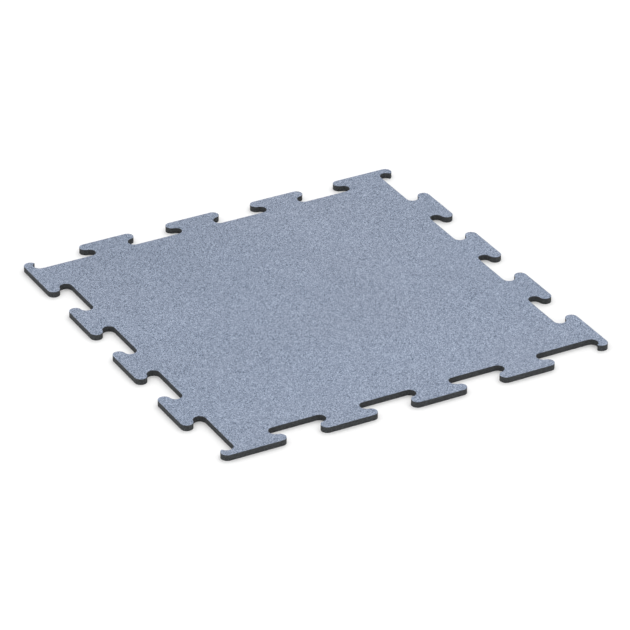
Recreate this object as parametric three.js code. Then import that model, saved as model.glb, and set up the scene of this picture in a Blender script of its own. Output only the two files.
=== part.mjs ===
// Interlocking rubber gym floor tile, lying flat, in millimetres with +Z up.
// One slab of bonded rubber granulate, 15 mm thick, cut right through along a puzzle outline.
// The origin is the centre of the underside, and the walking face is at Z = THICKNESS.
// All four sides are alike: each is the one before it turned a quarter turn about Z,
// so any side of one tile locks into any side of the next.

import * as THREE from "three";

// Driving dimensions
const LAID_SIDE = 1000; // the square that a laid tile covers, from joint to joint
const THICKNESS = 15;
const TABS_PER_SIDE = 4; // the last of them is the corner tab
const TAB_PITCH = 238; // from one tab's centre to the next
const TAB_HEAD = 146.5; // across a tab's head, its widest part
const TAB_DEPTH = 62.5; // from the floor of a gap to the end of a tab
const HOOK_REACH = 10; // how far a corner tab's rounded end runs past the laid square
const CUT_CLEARANCE = 0.5; // air between two laid tiles, half of it taken off each

// How finely a round stretch is drawn
const STEPS_PER_ARC = 12;

// The joint line runs down the middle of the tabs' depth, and each tile stops short of it by half the air.
const halfSide = LAID_SIDE / 2;
const halfDepth = TAB_DEPTH / 2;
const trim = CUT_CLEARANCE / 2;
const tabEnd = halfSide + halfDepth;
const gapFloor = halfSide - halfDepth;

// A neck is as wide as the mouth between two heads, because the gaps take tabs of this same shape.
const tabNeck = TAB_PITCH - TAB_HEAD;
const overhang = (TAB_HEAD - tabNeck) / 2;

// The two arcs of a flank have one radius and run into each other on the joint line with no corner.
const flankRadius = lipRadius(overhang / 2);
const hookRadius = lipRadius(HOOK_REACH);

// The tabs sit a quarter pitch off centre, so that they face the gaps of the opposite side.
const firstTab = (-(TABS_PER_SIDE - 1.5) * TAB_PITCH) / 2;

// The outline runs clockwise. It goes clockwise round a rounded lip and anticlockwise round a hollow.
function lip(centre, radius, from, to) {
  return { centre, radius: radius - trim, from, to, clockwise: true };
}

function hollow(centre, radius, from, to) {
  return { centre, radius: radius + trim, from, to, clockwise: false };
}

function angleTo(from, to) {
  return Math.atan2(to.y - from.y, to.x - from.x);
}

// The radius of a lip that touches a tab's end line and reaches so far past the point where it meets the joint line.
function lipRadius(reach) {
  return halfDepth + reach - Math.sqrt(TAB_DEPTH * reach);
}

// Seen from a circle's centre, the angle between another circle's centre and the point where the two cross.
function crossingAngle(radius, otherRadius, apart) {
  return Math.acos((apart ** 2 + radius ** 2 - otherRadius ** 2) / (2 * apart * radius));
}

// The left flank of a tab on the side that faces +Y, from the gap's floor up to the tab's end.
function leftFlank(tabCentre) {
  const inner = new THREE.Vector2(tabCentre - tabNeck / 2 - flankRadius, gapFloor + flankRadius);
  const outer = new THREE.Vector2(tabCentre - TAB_HEAD / 2 + flankRadius, tabEnd - flankRadius);
  return [
    hollow(inner, flankRadius, -Math.PI / 2, angleTo(inner, outer)),
    lip(outer, flankRadius, angleTo(outer, inner), Math.PI / 2),
  ];
}

// The right flank, from the tab's end down to the next gap's floor.
function rightFlank(tabCentre) {
  const outer = new THREE.Vector2(tabCentre + TAB_HEAD / 2 - flankRadius, tabEnd - flankRadius);
  const inner = new THREE.Vector2(tabCentre + tabNeck / 2 + flankRadius, gapFloor + flankRadius);
  return [
    lip(outer, flankRadius, Math.PI / 2, angleTo(outer, inner)),
    hollow(inner, flankRadius, angleTo(inner, outer), -Math.PI / 2),
  ];
}

// The corner tab's end: a lip past the corner, then a hollow that runs into the next side's gap floor.
// Four laid tiles meet at a corner, and their hooks are one circle turned about it by quarter turns,
// so a lip and a hollow cross there at a right angle.
function cornerHook() {
  const along = HOOK_REACH - hookRadius;
  const across = halfDepth - hookRadius;
  const outer = new THREE.Vector2(halfSide + along, halfSide + across);
  const inner = new THREE.Vector2(halfSide - across, halfSide + along);
  const apart = outer.distanceTo(inner);
  const lipEnd = angleTo(outer, inner) + crossingAngle(hookRadius - trim, hookRadius + trim, apart);
  const hollowStart = angleTo(inner, outer) - crossingAngle(hookRadius + trim, hookRadius - trim, apart);
  return [
    lip(outer, hookRadius, Math.PI / 2, lipEnd),
    hollow(inner, hookRadius, hollowStart, Math.PI),
  ];
}

// The arcs of the side that faces +Y, from left to right. Straight stretches join them.
function sideArcs() {
  const arcs = [];
  for (let i = 0; i < TABS_PER_SIDE; i++) {
    const tabCentre = firstTab + i * TAB_PITCH;
    const isCornerTab = i === TABS_PER_SIDE - 1;
    arcs.push(...leftFlank(tabCentre));
    arcs.push(...(isCornerTab ? cornerHook() : rightFlank(tabCentre)));
  }
  return arcs;
}

function tileOutline() {
  const outline = new THREE.Shape();
  const origin = new THREE.Vector2();
  for (let side = 0; side < 4; side++) {
    const turn = (-side * Math.PI) / 2;
    for (const arc of sideArcs()) {
      const centre = arc.centre.rotateAround(origin, turn);
      outline.absarc(centre.x, centre.y, arc.radius, arc.from + turn, arc.to + turn, arc.clockwise);
    }
  }
  return outline;
}

function makeTile() {
  const body = new THREE.ExtrudeGeometry(tileOutline(), {
    depth: THICKNESS,
    curveSegments: STEPS_PER_ARC / 2, // an arc takes two steps for each of these
    bevelEnabled: false,
  });
  const rubber = new THREE.MeshStandardMaterial({ color: 0x929db0, roughness: 0.92, metalness: 0 });
  const tile = new THREE.Mesh(body, rubber);
  tile.name = "tile";
  return tile;
}

const floorTile = new THREE.Group();
floorTile.add(makeTile());

export default floorTile;
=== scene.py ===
import bpy
import math
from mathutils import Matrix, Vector


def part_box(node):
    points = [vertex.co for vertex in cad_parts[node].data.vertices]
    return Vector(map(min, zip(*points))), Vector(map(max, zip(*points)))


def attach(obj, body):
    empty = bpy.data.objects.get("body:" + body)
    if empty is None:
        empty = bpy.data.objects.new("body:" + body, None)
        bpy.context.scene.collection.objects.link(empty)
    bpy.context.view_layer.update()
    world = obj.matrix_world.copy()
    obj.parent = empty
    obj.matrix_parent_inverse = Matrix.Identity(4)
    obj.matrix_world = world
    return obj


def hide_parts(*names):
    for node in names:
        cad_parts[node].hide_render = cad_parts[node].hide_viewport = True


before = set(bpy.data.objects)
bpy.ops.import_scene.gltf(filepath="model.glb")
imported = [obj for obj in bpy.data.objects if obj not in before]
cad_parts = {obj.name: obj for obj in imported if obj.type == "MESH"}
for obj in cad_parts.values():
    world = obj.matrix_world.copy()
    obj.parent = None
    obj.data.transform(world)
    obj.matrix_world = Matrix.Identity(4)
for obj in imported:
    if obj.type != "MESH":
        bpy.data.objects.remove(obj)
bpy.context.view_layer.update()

# Units
MM = 0.001
DEGREE = math.pi / 180
QUARTER = math.pi / 2

# The tile's driving sizes, as in the CAD. Its thickness and its laid side come from the frame.
SIDES = 4
TABS_PER_SIDE = 4
TAB_PITCH = 238 * MM
TAB_HEAD = 146.5 * MM
TAB_DEPTH = 62.5 * MM
HOOK_REACH = 10 * MM
CUT_CLEARANCE = 0.5 * MM

tile_low, tile_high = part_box("tile")
thickness = tile_high[2] - tile_low[2]
laid_side = tile_high[0] - tile_low[0] - TAB_DEPTH + CUT_CLEARANCE

# Places along a side and across it, worked out from the driving sizes
half_side = laid_side / 2
half_depth = TAB_DEPTH / 2
trim = CUT_CLEARANCE / 2
tab_end = half_side + half_depth
gap_floor = half_side - half_depth
tab_neck = TAB_PITCH - TAB_HEAD
overhang = (TAB_HEAD - tab_neck) / 2
flank_radius = half_depth + overhang / 2 - math.sqrt(TAB_DEPTH * overhang / 2)
hook_radius = half_depth + HOOK_REACH - math.sqrt(TAB_DEPTH * HOOK_REACH)
first_tab = -(TABS_PER_SIDE - 1.5) * TAB_PITCH / 2
last_tab = first_tab + (TABS_PER_SIDE - 1) * TAB_PITCH

# The rubber granulate: crumbs of a few millimetres, bound together and pressed into a dense sheet.
# All these widths are real ones. The granules are so fine that they show as a speckle.
FACE_GRANULE = 1.2 * MM  # across one coloured granule
GRANULE_RELIEF = 0.15 * MM
GRANULE_STEP = 0.5  # how far one granule may stand above the next, as a share of their relief
EDGE_CRUMB = 2.0 * MM  # across one black crumb, cut through at the edge
EDGE_CRUMB_RELIEF = 0.25 * MM
UNDERSIDE_CRUMB = 2.6 * MM  # wider than at the edge, because it is rolled flat
UNDERSIDE_CRUMB_RELIEF = 0.15 * MM
CRUMB_STEP = 0.8  # the same for crumbs
SEAM_SHARE = 0.12  # how much of a crumb's width its seam takes on each side

# The sheet's make-up and its finish
BETWEEN_SORTS = 0.6  # the share of granules whose colour lies between the dark and the pale sort's
MOTTLE_WIDTH = 900 * MM  # across the broadest patches, which the noise's detail breaks up
MOTTLE_DETAIL = 4.0
LIGHT_AND_TONE_SLICE = 623.9  # where the noise is cut through, so that the lighter and darker patches, partly painted light and shade, lie as in the photograph
WARMTH_SLICE = 657.9
RUBBER_IOR = 1.52
ROUGHNESS_SPREAD = 0.12  # from one granule or crumb to another
SMOOTHEST_GRANULE = 0.84
ROUGHEST_CUT_CRUMB = 0.96
ROUGHEST_PRESSED_CRUMB = 0.9

# The mesh of the sheet and of the cut
SHEET_MARGIN = 20 * MM  # how much longer the uncut sheet is than the tile over its tabs
SHEET_STEP = 4.5 * MM  # between the points that give the walking face its unevenness
SHEET_RELIEF = 0.2 * MM
SHEET_JITTER = 0.35  # how far those points stray aside, as a share of their step
SHEET_SEED = 5
POINTS_PER_ARC = 48
EDGE_STEP = 1.75 * MM  # between the points round the cut edge
EDGE_ROW = 2.0 * MM  # and up it
EDGE_RELIEF = 0.2 * MM  # how deep crumbs are torn out of the cut
EDGE_SEED = 11
FACE_LEVEL = 0.5  # a face looks up or down if its normal rises or falls more than this
ARRIS_ANGLE = 40 * DEGREE
WELD = 0.01 * MM  # where two parts join, points that lie closer than this are made one
SHORTEST_EDGE = 0.1 * MM  # the same for the cut mesh, which leaves no slivers

# The texture map, a square with sides of 1
MAP_FACE = 0.74  # how much of its width the walking face takes
MAP_UNDERSIDE = 0.24
MAP_GAP = 0.01
MAP_ROWS = 7  # the rows that the cut edge is laid out in, above the two faces
MAP_ROW_FILL = 0.5  # how much of a row's height the cut edge fills

# Colours
DARK_GRANULE = 0x4C5B70
PALE_GRANULE = 0xB1BDD2
COOL_TINT = 0xF6FBFF
WARM_TINT = 0xFFF9F6
DARK_CRUMB = 0x27292B
PALE_CRUMB = 0x434648
PAINTED_SEAM_SHADE = 0.8  # how much of a crumb's colour the painted shade in its seams leaves
LIGHT_AND_TONE = 0.22  # how far the face's lightness strays, up and down, partly in the sheet's own tone and partly as painted light and shade
FLOOR_COLOUR = 0xF4F4F4

# Light
DOME_STRENGTH = 1.08
LAMP_STRENGTH = 0.6
LAMP_WIDTH = 40 * DEGREE
LAMP_AZIMUTH = 135 * DEGREE
LAMP_ELEVATION = 45 * DEGREE
FLOOR_SIDE = 40.0

# What the tile's tree takes. Its three materials are made with the tile.
TILE_SIZES = {
    "Tabs per side": TABS_PER_SIDE,
    "Tab pitch": TAB_PITCH,
    "First tab": first_tab,
    "Thickness": thickness,
    "Overcut": EDGE_ROW / 2,
    "Edge step": EDGE_STEP,
    "Edge row": EDGE_ROW,
    "Edge relief": EDGE_RELIEF,
    "Edge seed": EDGE_SEED,
    "Sheet side": 2 * tab_end + SHEET_MARGIN,
    "Sheet step": SHEET_STEP,
    "Sheet relief": SHEET_RELIEF,
    "Sheet seed": SHEET_SEED,
    "Map rows": MAP_ROWS,
    "Walking face": bpy.types.Material,
    "Cut edge": bpy.types.Material,
    "Underside": bpy.types.Material,
}

# A tab's points are counted along its outline: an arc starts at its own number times this and takes up 1,
# so that no two arcs share a count.
ORDER_PER_ARC = 2

# The camera stands far off, in front of the tile and to its left, and has a long lens.
VIEW_TARGET = Vector((-0.0189, -0.0551, 0.015))
VIEW_DISTANCE = 9.867
VIEW_AZIMUTH = -28.425 * DEGREE
VIEW_ELEVATION = 29.406 * DEGREE
LENS_MM = 235.1

SOCKET_KINDS = {
    int: "NodeSocketInt",
    float: "NodeSocketFloat",
    Vector: "NodeSocketVector",
    bpy.types.Material: "NodeSocketMaterial",
}


def linear(hex_colour):
    """An sRGB hex colour as the linear numbers that a socket takes."""
    def channel(shift):
        value = (hex_colour >> shift & 255) / 255
        return value / 12.92 if value <= 0.04045 else ((value + 0.055) / 1.055) ** 2.4
    return channel(16), channel(8), channel(0), 1.0


def add(tree, kind, settings=None, inputs=None):
    """Adds a node, sets it up and feeds its sockets with numbers, or with what other nodes give."""
    node = tree.nodes.new(kind)
    for name, value in (settings or {}).items():
        setattr(node, name, value)
    for name, value in (inputs or {}).items():
        for source in value if isinstance(value, list) else [value]:
            if isinstance(source, bpy.types.Node):
                source = source.outputs[0]
            if isinstance(source, bpy.types.NodeSocket):
                tree.links.new(source, node.inputs[name])
            else:
                node.inputs[name].default_value = source
    return node


def new_tree(name, sizes):
    """A tree that gives one geometry, with a named input for each size, and the node with those inputs."""
    tree = bpy.data.node_groups.new(name, "GeometryNodeTree")
    tree.interface.new_socket("Geometry", in_out="OUTPUT", socket_type="NodeSocketGeometry")
    for label, value in sizes.items():
        kind = value if isinstance(value, type) else type(value)
        tree.interface.new_socket(label, in_out="INPUT", socket_type=SOCKET_KINDS[kind])
    return tree, add(tree, "NodeGroupInput").outputs


def give(tree, geometry):
    """Makes this geometry the one that the tree gives."""
    add(tree, "NodeGroupOutput", inputs={"Geometry": geometry})


def made_by(tree, name, sizes):
    """The plain mesh object that a tree makes from these sizes."""
    piece = bpy.data.objects.new(name, bpy.data.meshes.new(name))
    bpy.context.collection.objects.link(piece)
    modifier = piece.modifiers.new(tree.name, "NODES")
    modifier.node_group = tree
    for socket in tree.interface.items_tree:
        if socket.in_out == "INPUT":
            modifier[socket.identifier] = sizes[socket.name]
    evaluated = piece.evaluated_get(bpy.context.evaluated_depsgraph_get())
    mesh = bpy.data.meshes.new_from_object(evaluated)
    piece.modifiers.remove(modifier)
    piece.data = mesh
    mesh.name = name
    return piece


# The outline runs clockwise. It goes clockwise round a rounded lip and anticlockwise round a hollow.
def lip(centre, radius, start, end):
    return {"Centre": centre, "Radius": radius - trim, "Start": start, "Sweep": -((start - end) % math.tau)}


def hollow(centre, radius, start, end):
    return {"Centre": centre, "Radius": radius + trim, "Start": start, "Sweep": (end - start) % math.tau}


def angle_to(start, end):
    return math.atan2(end.y - start.y, end.x - start.x)


def crossing_angle(radius, other_radius, apart):
    """Seen from a circle's centre, the angle between another's centre and the point where the two cross."""
    return math.acos((apart ** 2 + radius ** 2 - other_radius ** 2) / (2 * apart * radius))


def left_flank():
    """The two arcs from a gap's floor up to a tab's end, measured from the tab's centre line."""
    inner = Vector((-tab_neck / 2 - flank_radius, gap_floor + flank_radius, 0))
    outer = Vector((-TAB_HEAD / 2 + flank_radius, tab_end - flank_radius, 0))
    return [
        hollow(inner, flank_radius, -QUARTER, angle_to(inner, outer)),
        lip(outer, flank_radius, angle_to(outer, inner), QUARTER),
    ]


def right_flank():
    outer = Vector((TAB_HEAD / 2 - flank_radius, tab_end - flank_radius, 0))
    inner = Vector((tab_neck / 2 + flank_radius, gap_floor + flank_radius, 0))
    return [
        lip(outer, flank_radius, QUARTER, angle_to(outer, inner)),
        hollow(inner, flank_radius, angle_to(inner, outer), -QUARTER),
    ]


def corner_hook():
    """The corner tab's end: a lip past the corner, then a hollow that runs into the next side's gap floor.

    The hollow is the lip turned a quarter turn about the corner, and the two cross there at a right angle.
    """
    along = HOOK_REACH - hook_radius
    across = half_depth - hook_radius
    corner = half_side - last_tab
    outer = Vector((corner + along, half_side + across, 0))
    inner = Vector((corner - across, half_side + along, 0))
    apart = (outer - inner).length
    lip_end = angle_to(outer, inner) + crossing_angle(hook_radius - trim, hook_radius + trim, apart)
    hollow_start = angle_to(inner, outer) - crossing_angle(hook_radius + trim, hook_radius - trim, apart)
    return [
        lip(outer, hook_radius, QUARTER, lip_end),
        hollow(inner, hook_radius, hollow_start, math.pi),
    ]


def arc_tree():
    """One arc of a tab, whose points know how far along the tab's outline they come."""
    sizes = {"Centre": Vector(), "Radius": 0.0, "Start": 0.0, "Sweep": 0.0, "Number": 0}
    tree, given = new_tree("tab_arc", sizes)
    arc = add(tree, "GeometryNodeCurveArc", {"mode": "RADIUS"}, {
        "Resolution": POINTS_PER_ARC,
        "Radius": given["Radius"],
        "Start Angle": given["Start"],
        "Sweep Angle": given["Sweep"],
    })
    placed = add(tree, "GeometryNodeTransform", inputs={"Geometry": arc, "Translation": given["Centre"]})
    share = add(tree, "GeometryNodeSplineParameter")
    order = add(tree, "ShaderNodeMath", {"operation": "MULTIPLY_ADD"}, {
        0: given["Number"],
        1: ORDER_PER_ARC,
        2: share.outputs["Factor"],
    })
    give(tree, add(tree, "GeometryNodeStoreNamedAttribute", {"data_type": "FLOAT", "domain": "POINT"}, {
        "Geometry": placed,
        "Name": "order",
        "Value": order,
    }))
    return tree


def add_tab(tree, arc_group, arcs):
    """The arcs of one tab. The straight stretches come when all the points are strung on one line."""
    drawn = []
    for number, arc in enumerate(arcs):
        drawn.append(add(tree, "GeometryNodeGroup", {"node_tree": arc_group}, {**arc, "Number": number}))
    return add(tree, "GeometryNodeJoinGeometry", inputs={"Geometry": drawn})


def outline_tree():
    """The puzzle outline: a tab at each place of a side, a corner tab at its last one, four sides round."""
    sizes = {"Tabs per side": 0, "Tab pitch": 0.0, "First tab": 0.0, "Step": 0.0}
    tree, given = new_tree("puzzle_outline", sizes)
    arc_group = arc_tree()
    plain_tab = add_tab(tree, arc_group, left_flank() + right_flank())
    corner_tab = add_tab(tree, arc_group, left_flank() + corner_hook())

    # Where each tab goes: along the top side, then turned to its own side
    number = add(tree, "GeometryNodeInputIndex")
    tabs = given["Tabs per side"]
    side = add(tree, "FunctionNodeIntegerMath", {"operation": "DIVIDE_FLOOR"}, {0: number, 1: tabs})
    place = add(tree, "FunctionNodeIntegerMath", {"operation": "MODULO"}, {0: number, 1: tabs})
    turn = add(tree, "ShaderNodeMath", {"operation": "MULTIPLY"}, {0: side, 1: -QUARTER})
    along = add(tree, "ShaderNodeMath", {"operation": "MULTIPLY_ADD"}, {
        0: place,
        1: given["Tab pitch"],
        2: given["First tab"],
    })
    on_top_side = add(tree, "ShaderNodeCombineXYZ", inputs={"X": along})
    position = add(tree, "ShaderNodeVectorRotate", {"rotation_type": "Z_AXIS"}, {
        "Vector": on_top_side,
        "Angle": turn,
    })
    all_tabs = add(tree, "FunctionNodeIntegerMath", {"operation": "MULTIPLY"}, {0: tabs, 1: SIDES})
    places = add(tree, "GeometryNodePoints", inputs={"Count": all_tabs, "Position": position})
    places = add(tree, "GeometryNodeStoreNamedAttribute", {"data_type": "INT", "domain": "POINT"}, {
        "Geometry": places,
        "Name": "tab",
        "Value": number,
    })
    last_place = add(tree, "FunctionNodeIntegerMath", {"operation": "SUBTRACT"}, {0: tabs, 1: 1})
    sits_inside = add(tree, "FunctionNodeCompare", {"data_type": "INT", "operation": "LESS_THAN"}, {
        2: place,
        3: last_place,
    })
    sits_at_corner = add(tree, "FunctionNodeCompare", {"data_type": "INT", "operation": "EQUAL"}, {
        2: place,
        3: last_place,
    })
    facing = add(tree, "ShaderNodeCombineXYZ", inputs={"Z": turn})
    copies = []
    for shape, chosen in ((plain_tab, sits_inside), (corner_tab, sits_at_corner)):
        copies.append(add(tree, "GeometryNodeInstanceOnPoints", inputs={
            "Points": places,
            "Selection": chosen,
            "Instance": shape,
            "Rotation": facing,
        }))
    joined = add(tree, "GeometryNodeJoinGeometry", inputs={"Geometry": copies})
    real = add(tree, "GeometryNodeRealizeInstances", inputs={"Geometry": joined})

    # All the points on one line, tab after tab and arc after arc
    tab_number = add(tree, "GeometryNodeInputNamedAttribute", {"data_type": "INT"}, {"Name": "tab"})
    order = add(tree, "GeometryNodeInputNamedAttribute", {"data_type": "FLOAT"}, {"Name": "order"})
    order_per_tab = ORDER_PER_ARC * len(left_flank() + right_flank())
    weight = add(tree, "ShaderNodeMath", {"operation": "MULTIPLY_ADD"}, {
        0: tab_number,
        1: order_per_tab,
        2: order,
    })
    points = add(tree, "GeometryNodeCurveToPoints", {"mode": "EVALUATED"}, {"Curve": real})
    line = add(tree, "GeometryNodePointsToCurves", inputs={"Points": points, "Weight": weight})
    closed = add(tree, "GeometryNodeSetSplineCyclic", inputs={"Geometry": line, "Cyclic": True})
    give(tree, add(tree, "GeometryNodeResampleCurve", {"mode": "LENGTH"}, {
        "Curve": closed,
        "Length": given["Step"],
    }))
    return tree


def sheet_tree():
    """The granulate sheet before it is cut: fine uneven quads on its walking face, one flat face below."""
    sizes = {"Side": 0.0, "Thickness": 0.0, "Step": 0.0, "Relief": 0.0, "Seed": 0}
    tree, given = new_tree("granulate_sheet", sizes)
    size = add(tree, "ShaderNodeCombineXYZ", inputs={
        "X": given["Side"],
        "Y": given["Side"],
        "Z": given["Thickness"],
    })
    count = add(tree, "ShaderNodeMath", {"operation": "DIVIDE"}, {0: given["Side"], 1: given["Step"]})
    block = add(tree, "GeometryNodeMeshCube", inputs={
        "Size": size,
        "Vertices X": count,
        "Vertices Y": count,
        "Vertices Z": 2,
    })
    half = add(tree, "ShaderNodeMath", {"operation": "MULTIPLY"}, {0: given["Thickness"], 1: 0.5})
    lift = add(tree, "ShaderNodeCombineXYZ", inputs={"Z": half})
    block = add(tree, "GeometryNodeTransform", inputs={"Geometry": block, "Translation": lift})

    # The quads below give way to one face round the same rim.
    normal = add(tree, "ShaderNodeSeparateXYZ", inputs={"Vector": add(tree, "GeometryNodeInputNormal")})
    looks_down = add(tree, "FunctionNodeCompare", {"operation": "LESS_THAN"}, {
        0: normal.outputs["Z"],
        1: -FACE_LEVEL,
    })
    open_below = add(tree, "GeometryNodeDeleteGeometry", {"domain": "FACE"}, {
        "Geometry": block,
        "Selection": looks_down,
    })
    neighbours = add(tree, "GeometryNodeInputMeshEdgeNeighbors")
    on_rim = add(tree, "FunctionNodeCompare", {"data_type": "INT", "operation": "EQUAL"}, {
        2: neighbours,
        3: 1,
    })
    rim = add(tree, "GeometryNodeMeshToCurve", inputs={"Mesh": open_below, "Selection": on_rim})
    below = add(tree, "GeometryNodeFillCurve", {"mode": "NGONS"}, {"Curve": rim})
    below = add(tree, "GeometryNodeFlipFaces", inputs={"Mesh": below})
    joined = add(tree, "GeometryNodeJoinGeometry", inputs={"Geometry": [open_below, below]})
    closed = add(tree, "GeometryNodeMergeByDistance", inputs={"Geometry": joined, "Distance": WELD})

    # Each face is marked with the height of its normal, 1 for the walking face and -1 for the underside.
    level = add(tree, "ShaderNodeSeparateXYZ", inputs={"Vector": add(tree, "GeometryNodeInputNormal")})
    marked = add(tree, "GeometryNodeStoreNamedAttribute", {"data_type": "FLOAT", "domain": "FACE"}, {
        "Geometry": closed,
        "Name": "level",
        "Value": level.outputs["Z"],
    })

    # The walking face is uneven: each of its points is set aside and down by chance.
    position = add(tree, "ShaderNodeSeparateXYZ", inputs={"Vector": add(tree, "GeometryNodeInputPosition")})
    on_face = add(tree, "FunctionNodeCompare", {"operation": "GREATER_THAN"}, {
        0: position.outputs["Z"],
        1: half,
    })
    chance = add(tree, "FunctionNodeRandomValue", {"data_type": "FLOAT_VECTOR"}, {
        0: (-1, -1, -1),
        1: (1, 1, 0),
        "Seed": given["Seed"],
    })
    aside = add(tree, "ShaderNodeMath", {"operation": "MULTIPLY"}, {0: given["Step"], 1: SHEET_JITTER})
    reach = add(tree, "ShaderNodeCombineXYZ", inputs={"X": aside, "Y": aside, "Z": given["Relief"]})
    offset = add(tree, "ShaderNodeVectorMath", {"operation": "MULTIPLY"}, {0: chance, 1: reach})
    give(tree, add(tree, "GeometryNodeSetPosition", inputs={
        "Geometry": marked,
        "Selection": on_face,
        "Offset": offset,
    }))
    return tree


def cutter_tree(outline_group):
    """What stays inside the cut: a block with the puzzle outline, taller than the sheet, its wall torn."""
    sizes = {
        "Tabs per side": 0,
        "Tab pitch": 0.0,
        "First tab": 0.0,
        "Thickness": 0.0,
        "Overcut": 0.0,
        "Step": 0.0,
        "Row": 0.0,
        "Relief": 0.0,
        "Seed": 0,
    }
    tree, given = new_tree("puzzle_cutter", sizes)
    outline = add(tree, "GeometryNodeGroup", {"node_tree": outline_group}, {
        "Tabs per side": given["Tabs per side"],
        "Tab pitch": given["Tab pitch"],
        "First tab": given["First tab"],
        "Step": given["Step"],
    })
    top = add(tree, "ShaderNodeMath", {"operation": "ADD"}, {0: given["Thickness"], 1: given["Overcut"]})
    top_place = add(tree, "ShaderNodeCombineXYZ", inputs={"Z": top})
    bottom = add(tree, "ShaderNodeMath", {"operation": "MULTIPLY"}, {0: given["Overcut"], 1: -1})
    bottom_place = add(tree, "ShaderNodeCombineXYZ", inputs={"Z": bottom})

    # A section's Y runs down when it is swept round the flat outline.
    turned_over = (0, -1, 0)
    start = add(tree, "ShaderNodeVectorMath", {"operation": "MULTIPLY"}, {
        0: add(tree, "ShaderNodeCombineXYZ", inputs={"Y": bottom}),
        1: turned_over,
    })
    end = add(tree, "ShaderNodeVectorMath", {"operation": "MULTIPLY"}, {
        0: add(tree, "ShaderNodeCombineXYZ", inputs={"Y": top}),
        1: turned_over,
    })
    section = add(tree, "GeometryNodeCurvePrimitiveLine", inputs={"Start": start, "End": end})
    section = add(tree, "GeometryNodeResampleCurve", {"mode": "LENGTH"}, {
        "Curve": section,
        "Length": given["Row"],
    })
    upright = add(tree, "GeometryNodeSetCurveNormal", {"mode": "Z_UP"}, {"Curve": outline})
    wall = add(tree, "GeometryNodeCurveToMesh", inputs={"Curve": upright, "Profile Curve": section})
    cap = add(tree, "GeometryNodeFillCurve", {"mode": "NGONS"}, {"Curve": outline})
    lid = add(tree, "GeometryNodeTransform", inputs={"Geometry": cap, "Translation": top_place})
    foot = add(tree, "GeometryNodeFlipFaces", inputs={"Mesh": cap})
    foot = add(tree, "GeometryNodeTransform", inputs={"Geometry": foot, "Translation": bottom_place})
    joined = add(tree, "GeometryNodeJoinGeometry", inputs={"Geometry": [wall, lid, foot]})
    closed = add(tree, "GeometryNodeMergeByDistance", inputs={"Geometry": joined, "Distance": WELD})

    # Crumbs torn out of the cut leave its points a little inside the outline.
    depth = add(tree, "FunctionNodeRandomValue", {"data_type": "FLOAT"}, {
        2: 0.0,
        3: 1.0,
        "Seed": given["Seed"],
    })
    torn = add(tree, "ShaderNodeMath", {"operation": "MULTIPLY"}, {0: depth.outputs[1], 1: given["Relief"]})
    inward = add(tree, "ShaderNodeMath", {"operation": "MULTIPLY"}, {0: torn, 1: -1})
    offset = add(tree, "ShaderNodeVectorMath", {"operation": "SCALE"}, {
        0: add(tree, "GeometryNodeInputNormal"),
        "Scale": inward,
    })
    give(tree, add(tree, "GeometryNodeSetPosition", inputs={"Geometry": closed, "Offset": offset}))
    return tree


def place_on_faces(tree, given):
    """On the texture map, the walking face lies at the lower left and the underside at the lower right."""
    sheet_size = add(tree, "ShaderNodeCombineXYZ", inputs={
        "X": given["Sheet side"],
        "Y": given["Sheet side"],
        "Z": 1,
    })
    from_middle = add(tree, "ShaderNodeVectorMath", {"operation": "DIVIDE"}, {
        0: add(tree, "GeometryNodeInputPosition"),
        1: sheet_size,
    })
    places = []
    for width, left in ((MAP_FACE, 0), (MAP_UNDERSIDE, MAP_FACE + MAP_GAP)):
        places.append(add(tree, "ShaderNodeVectorMath", {"operation": "MULTIPLY_ADD"}, {
            0: from_middle,
            1: (width, width, 0),
            2: (left + width / 2, width / 2, 0),
        }))
    return places


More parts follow.
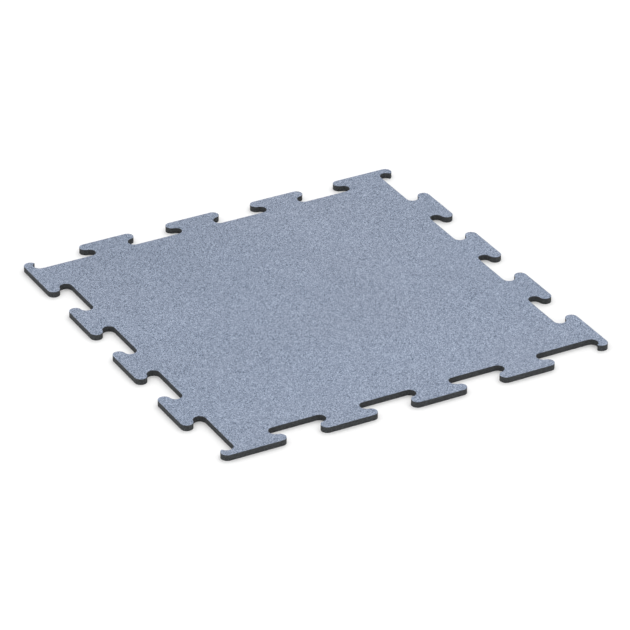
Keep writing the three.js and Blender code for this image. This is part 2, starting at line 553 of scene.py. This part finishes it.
def place_on_rows(tree, given, outline_group):
    """The cut edge lies in rows above the two faces, each of its faces wholly in the row of its middle."""
    line = add(tree, "GeometryNodeGroup", {"node_tree": outline_group}, {
        "Tabs per side": given["Tabs per side"],
        "Tab pitch": given["Tab pitch"],
        "First tab": given["First tab"],
        "Step": given["Edge step"],
    })
    outline = add(tree, "GeometryNodeCurveToMesh", inputs={"Curve": line})
    size = add(tree, "GeometryNodeAttributeDomainSize", inputs={"Geometry": outline})
    nearest = add(tree, "GeometryNodeSampleNearest", inputs={"Geometry": outline})
    count = size.outputs["Point Count"]
    share = add(tree, "ShaderNodeMath", {"operation": "DIVIDE"}, {0: nearest, 1: count})
    rows = given["Map rows"]
    along_rows = add(tree, "ShaderNodeMath", {"operation": "MULTIPLY"}, {0: share, 1: rows})
    middle = add(tree, "GeometryNodeFieldOnDomain", {"data_type": "FLOAT", "domain": "FACE"}, {
        0: along_rows,
    })
    row = add(tree, "ShaderNodeMath", {"operation": "FLOOR"}, {0: middle})

    # Where the outline starts and ends, a face has corners on both sides of the start, a whole lap apart.
    off = add(tree, "ShaderNodeMath", {"operation": "SUBTRACT"}, {0: middle, 1: along_rows})
    laps_off = add(tree, "ShaderNodeMath", {"operation": "DIVIDE"}, {0: off, 1: rows})
    laps = add(tree, "ShaderNodeMath", {"operation": "ROUND"}, {0: laps_off})
    mended = add(tree, "ShaderNodeMath", {"operation": "MULTIPLY_ADD"}, {0: laps, 1: rows, 2: along_rows})
    across = add(tree, "ShaderNodeMath", {"operation": "SUBTRACT"}, {0: mended, 1: row})

    position = add(tree, "ShaderNodeSeparateXYZ", inputs={"Vector": add(tree, "GeometryNodeInputPosition")})
    height = add(tree, "ShaderNodeMath", {"operation": "DIVIDE"}, {
        0: position.outputs["Z"],
        1: given["Thickness"],
    })
    in_rows = add(tree, "ShaderNodeMath", {"operation": "MULTIPLY_ADD"}, {
        0: height,
        1: MAP_ROW_FILL,
        2: row,
    })
    up = add(tree, "ShaderNodeMath", {"operation": "DIVIDE"}, {0: in_rows, 1: rows})
    return add(tree, "ShaderNodeVectorMath", {"operation": "MULTIPLY_ADD"}, {
        0: add(tree, "ShaderNodeCombineXYZ", inputs={"X": across, "Y": up}),
        1: (1 - 3 * MAP_GAP, 1 - MAP_FACE - 2 * MAP_GAP, 0),
        2: (MAP_GAP, MAP_FACE + MAP_GAP, 0),
    })


def place_on_map(tree, given, outline_group, looks_up, looks_down):
    """Where each corner of a face lies on the tile's texture map."""
    place = place_on_rows(tree, given, outline_group)
    for chosen, place_on_face in zip((looks_up, looks_down), place_on_faces(tree, given)):
        place = add(tree, "GeometryNodeSwitch", {"input_type": "VECTOR"}, {
            "Switch": chosen,
            "False": place,
            "True": place_on_face,
        })
    return place


def tile_tree():
    """The tile: the sheet cut through along the puzzle outline, with its texture map and its materials."""
    tree, given = new_tree("puzzle_tile", TILE_SIZES)
    outline_group = outline_tree()
    cutter = add(tree, "GeometryNodeGroup", {"node_tree": cutter_tree(outline_group)}, {
        "Tabs per side": given["Tabs per side"],
        "Tab pitch": given["Tab pitch"],
        "First tab": given["First tab"],
        "Thickness": given["Thickness"],
        "Overcut": given["Overcut"],
        "Step": given["Edge step"],
        "Row": given["Edge row"],
        "Relief": given["Edge relief"],
        "Seed": given["Edge seed"],
    })
    sheet = add(tree, "GeometryNodeGroup", {"node_tree": sheet_tree()}, {
        "Side": given["Sheet side"],
        "Thickness": given["Thickness"],
        "Step": given["Sheet step"],
        "Relief": given["Sheet relief"],
        "Seed": given["Sheet seed"],
    })
    cut = add(tree, "GeometryNodeMeshBoolean", {"operation": "INTERSECT", "solver": "MANIFOLD"}, {
        "Mesh 2": [sheet, cutter],
    })
    cut = add(tree, "GeometryNodeMergeByDistance", inputs={"Geometry": cut, "Distance": SHORTEST_EDGE})
    cut = add(tree, "GeometryNodeTriangulate", inputs={"Mesh": cut})

    # The surfaces shade smoothly, but the arrises where the cut meets them stay sharp.
    smooth = add(tree, "GeometryNodeSetShadeSmooth", {"domain": "FACE"}, {
        "Geometry": cut,
        "Shade Smooth": True,
    })
    fold = add(tree, "GeometryNodeInputMeshEdgeAngle")
    is_arris = add(tree, "FunctionNodeCompare", {"operation": "GREATER_THAN"}, {0: fold, 1: ARRIS_ANGLE})
    smooth = add(tree, "GeometryNodeSetShadeSmooth", {"domain": "EDGE"}, {
        "Geometry": smooth,
        "Selection": is_arris,
        "Shade Smooth": False,
    })

    # The marks of the sheet's faces tell what each face of the tile is. The cut edge has none.
    level = add(tree, "GeometryNodeInputNamedAttribute", {"data_type": "FLOAT"}, {"Name": "level"})
    looks_up = add(tree, "FunctionNodeCompare", {"operation": "GREATER_THAN"}, {0: level, 1: FACE_LEVEL})
    looks_down = add(tree, "FunctionNodeCompare", {"operation": "LESS_THAN"}, {0: level, 1: -FACE_LEVEL})

    mapped = add(tree, "GeometryNodeStoreNamedAttribute", {"data_type": "FLOAT2", "domain": "CORNER"}, {
        "Geometry": smooth,
        "Name": "OFBake",
        "Value": place_on_map(tree, given, outline_group, looks_up, looks_down),
    })
    real = add(tree, "GeometryNodeRealizeInstances", inputs={"Geometry": mapped})
    dressed = add(tree, "GeometryNodeSetMaterial", inputs={"Geometry": real, "Material": given["Cut edge"]})
    dressed = add(tree, "GeometryNodeSetMaterial", inputs={
        "Geometry": dressed,
        "Selection": looks_up,
        "Material": given["Walking face"],
    })
    give(tree, add(tree, "GeometryNodeSetMaterial", inputs={
        "Geometry": dressed,
        "Selection": looks_down,
        "Material": given["Underside"],
    }))
    return tree


def rubber(name):
    """A new material with its shader, and the place on the tile that its patterns read."""
    material = bpy.data.materials.new(name)
    material.use_nodes = True
    tree = material.node_tree
    shader = tree.nodes["Principled BSDF"]
    shader.inputs["IOR"].default_value = RUBBER_IOR
    return material, tree, shader, add(tree, "ShaderNodeTexCoord").outputs["Object"]


def add_crumbs(tree, place, size):
    """Crumbs of rubber packed side by side: numbers by chance for each, and 0 in the seams to 1 inside."""
    crumb = add(tree, "ShaderNodeTexVoronoi", {"feature": "F1"}, {"Vector": place, "Scale": 1 / size})
    chance = add(tree, "ShaderNodeSeparateColor", inputs={"Color": crumb.outputs["Color"]})
    edge = add(tree, "ShaderNodeTexVoronoi", {"feature": "DISTANCE_TO_EDGE"}, {
        "Vector": place,
        "Scale": 1 / size,
    })
    inside = add(tree, "ShaderNodeMapRange", {"interpolation_type": "SMOOTHSTEP"}, {
        "Value": edge,
        "From Max": SEAM_SHARE,
    })
    return chance.outputs, inside.outputs["Result"]


def finish_rubber(tree, shader, colour, height, relief, roughness):
    """Sets the crumbs' colour, their relief and their roughness on the shader."""
    bump = add(tree, "ShaderNodeBump", inputs={"Height": height, "Distance": relief})
    tree.links.new(colour, shader.inputs["Base Color"])
    tree.links.new(roughness.outputs[0], shader.inputs["Roughness"])
    tree.links.new(bump.outputs["Normal"], shader.inputs["Normal"])


def bonded_granulate():
    """EPDM and recycled rubber granules bound with clear polyurethane and pressed flat.

    It looks like a dense speckle of blue-grey granules, dark and pale ones mixed, with painted shade in the
    seams between them.
    The sheet is matt all over, and from place to place a shade lighter or darker, partly in its own tone
    and partly in painted light and shade, and bluer or warmer.
    """
    material, tree, shader, place = rubber("bonded_rubber_granulate")
    chance, inside = add_crumbs(tree, place, FACE_GRANULE)
    sort = add(tree, "ShaderNodeMapRange", {"interpolation_type": "SMOOTHSTEP"}, {
        "Value": chance["Red"],
        "From Min": (1 - BETWEEN_SORTS) / 2,
        "From Max": (1 + BETWEEN_SORTS) / 2,
    })
    granule = add(tree, "ShaderNodeMix", {"data_type": "RGBA"}, {
        0: sort,
        6: linear(DARK_GRANULE),
        7: linear(PALE_GRANULE),
    })

    # Painted shade: the seams, where the binder lies, are darkened as if in shadow.
    seam = add(tree, "ShaderNodeMapRange", inputs={"Value": inside, "To Min": PAINTED_SEAM_SHADE})
    seam_shaded = add(tree, "ShaderNodeMix", {"data_type": "RGBA", "blend_type": "MULTIPLY"}, {
        0: 1.0,
        6: granule.outputs[2],
        7: seam,
    })

    # A broad, faint mottling, lighter and darker, partly the sheet's own tone and partly painted light and
    # shade, and a fainter one, bluer and warmer
    light_and_tone_noise = add(tree, "ShaderNodeTexNoise", {"noise_dimensions": "4D"}, {
        "Vector": place,
        "W": LIGHT_AND_TONE_SLICE,
        "Scale": 1 / MOTTLE_WIDTH,
        "Detail": MOTTLE_DETAIL,
    })
    shade = add(tree, "ShaderNodeMapRange", inputs={
        "Value": light_and_tone_noise,
        "To Min": 1 - LIGHT_AND_TONE,
        "To Max": 1 + LIGHT_AND_TONE,
    })
    light_and_tone_shaded = add(tree, "ShaderNodeMix", {"data_type": "RGBA", "blend_type": "MULTIPLY"}, {
        0: 1.0,
        6: seam_shaded.outputs[2],
        7: shade,
    })
    warmth = add(tree, "ShaderNodeTexNoise", {"noise_dimensions": "4D"}, {
        "Vector": place,
        "W": WARMTH_SLICE,
        "Scale": 1 / MOTTLE_WIDTH,
        "Detail": MOTTLE_DETAIL,
    })
    tint = add(tree, "ShaderNodeMix", {"data_type": "RGBA"}, {
        0: warmth,
        6: linear(COOL_TINT),
        7: linear(WARM_TINT),
    })
    tinted = add(tree, "ShaderNodeMix", {"data_type": "RGBA", "blend_type": "MULTIPLY"}, {
        0: 1.0,
        6: light_and_tone_shaded.outputs[2],
        7: tint.outputs[2],
    })
    height = add(tree, "ShaderNodeMath", {"operation": "MULTIPLY_ADD"}, {
        0: chance["Green"],
        1: GRANULE_STEP,
        2: inside,
    })
    roughness = add(tree, "ShaderNodeMath", {"operation": "MULTIPLY_ADD"}, {
        0: chance["Blue"],
        1: ROUGHNESS_SPREAD,
        2: SMOOTHEST_GRANULE,
    })
    finish_rubber(tree, shader, tinted.outputs[2], height, GRANULE_RELIEF, roughness)
    return material


def crumb_rubber(name, crumb_size, relief, roughest):
    """Black crumb rubber from ground tyres: a close mosaic of charcoals, with painted shade in the seams.
    """
    material, tree, shader, place = rubber(name)
    chance, inside = add_crumbs(tree, place, crumb_size)
    crumb = add(tree, "ShaderNodeMix", {"data_type": "RGBA"}, {
        0: chance["Red"],
        6: linear(DARK_CRUMB),
        7: linear(PALE_CRUMB),
    })
    # Painted shade darkens the seams, as on the walking face.
    seam = add(tree, "ShaderNodeMapRange", inputs={"Value": inside, "To Min": PAINTED_SEAM_SHADE})
    seam_shaded = add(tree, "ShaderNodeMix", {"data_type": "RGBA", "blend_type": "MULTIPLY"}, {
        0: 1.0,
        6: crumb.outputs[2],
        7: seam,
    })
    height = add(tree, "ShaderNodeMath", {"operation": "MULTIPLY_ADD"}, {
        0: chance["Green"],
        1: CRUMB_STEP,
        2: inside,
    })
    roughness = add(tree, "ShaderNodeMath", {"operation": "MULTIPLY_ADD"}, {
        0: chance["Blue"],
        1: -ROUGHNESS_SPREAD,
        2: roughest,
    })
    finish_rubber(tree, shader, seam_shaded.outputs[2], height, relief, roughness)
    return material


def cut_crumb():
    """The cut edge, sliced straight down: every crumb shows its torn, matt section."""
    return crumb_rubber("cut_crumb_rubber", EDGE_CRUMB, EDGE_CRUMB_RELIEF, ROUGHEST_CUT_CRUMB)


def pressed_crumb():
    """The underside, pressed against a belt: crumbs rolled flat and a little smoother than cut ones."""
    return crumb_rubber(
        "pressed_crumb_rubber",
        UNDERSIDE_CRUMB,
        UNDERSIDE_CRUMB_RELIEF,
        ROUGHEST_PRESSED_CRUMB,
    )


def make_tile():
    """The slab, which stands for the CAD's tile and takes its place."""
    sizes = {
        **TILE_SIZES,
        "Walking face": bonded_granulate(),
        "Cut edge": cut_crumb(),
        "Underside": pressed_crumb(),
    }
    tile = made_by(tile_tree(), "tile_slab", sizes)
    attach(tile, "root")
    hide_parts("tile")


def look_from(target, distance, azimuth, elevation):
    """Where a camera or lamp stands, and how it is turned, to look at a target from afar."""
    flat = math.cos(elevation)
    back = Vector((math.sin(azimuth) * flat, -math.cos(azimuth) * flat, math.sin(elevation)))
    return target + back * distance, (-back).to_track_quat("-Z", "Y").to_euler()


def make_camera():
    camera = bpy.data.objects.new("camera", bpy.data.cameras.new("camera"))
    camera.data.lens = LENS_MM
    place, turn = look_from(VIEW_TARGET, VIEW_DISTANCE, VIEW_AZIMUTH, VIEW_ELEVATION)
    camera.location = place
    camera.rotation_euler = turn
    bpy.context.collection.objects.link(camera)
    bpy.context.scene.camera = camera


def make_floor():
    """A matt, nearly white floor that shows no gloss."""
    bpy.ops.mesh.primitive_plane_add(size=FLOOR_SIDE)
    floor = bpy.context.object
    floor.name = "floor"
    material = bpy.data.materials.new("matt_white_floor")
    material.use_nodes = True
    shader = material.node_tree.nodes["Principled BSDF"]
    shader.inputs["Base Color"].default_value = linear(FLOOR_COLOUR)
    shader.inputs["Roughness"].default_value = 1
    shader.inputs["Specular IOR Level"].default_value = 0
    floor.data.materials.append(material)


def make_light():
    """A wide white dome, and a large soft lamp behind the tile on its right."""
    world = bpy.data.worlds.new("studio")
    bpy.context.scene.world = world
    world.use_nodes = True
    dome = world.node_tree.nodes["Background"]
    dome.inputs["Color"].default_value = (1, 1, 1, 1)
    dome.inputs["Strength"].default_value = DOME_STRENGTH
    lamp = bpy.data.objects.new("soft_lamp", bpy.data.lights.new("soft_lamp", "SUN"))
    lamp.data.energy = LAMP_STRENGTH
    lamp.data.angle = LAMP_WIDTH
    lamp.rotation_euler = look_from(Vector(), 1, LAMP_AZIMUTH, LAMP_ELEVATION)[1]
    bpy.context.collection.objects.link(lamp)
    bpy.context.scene.view_settings.view_transform = "Standard"


make_camera()
make_floor()
make_light()
make_tile()
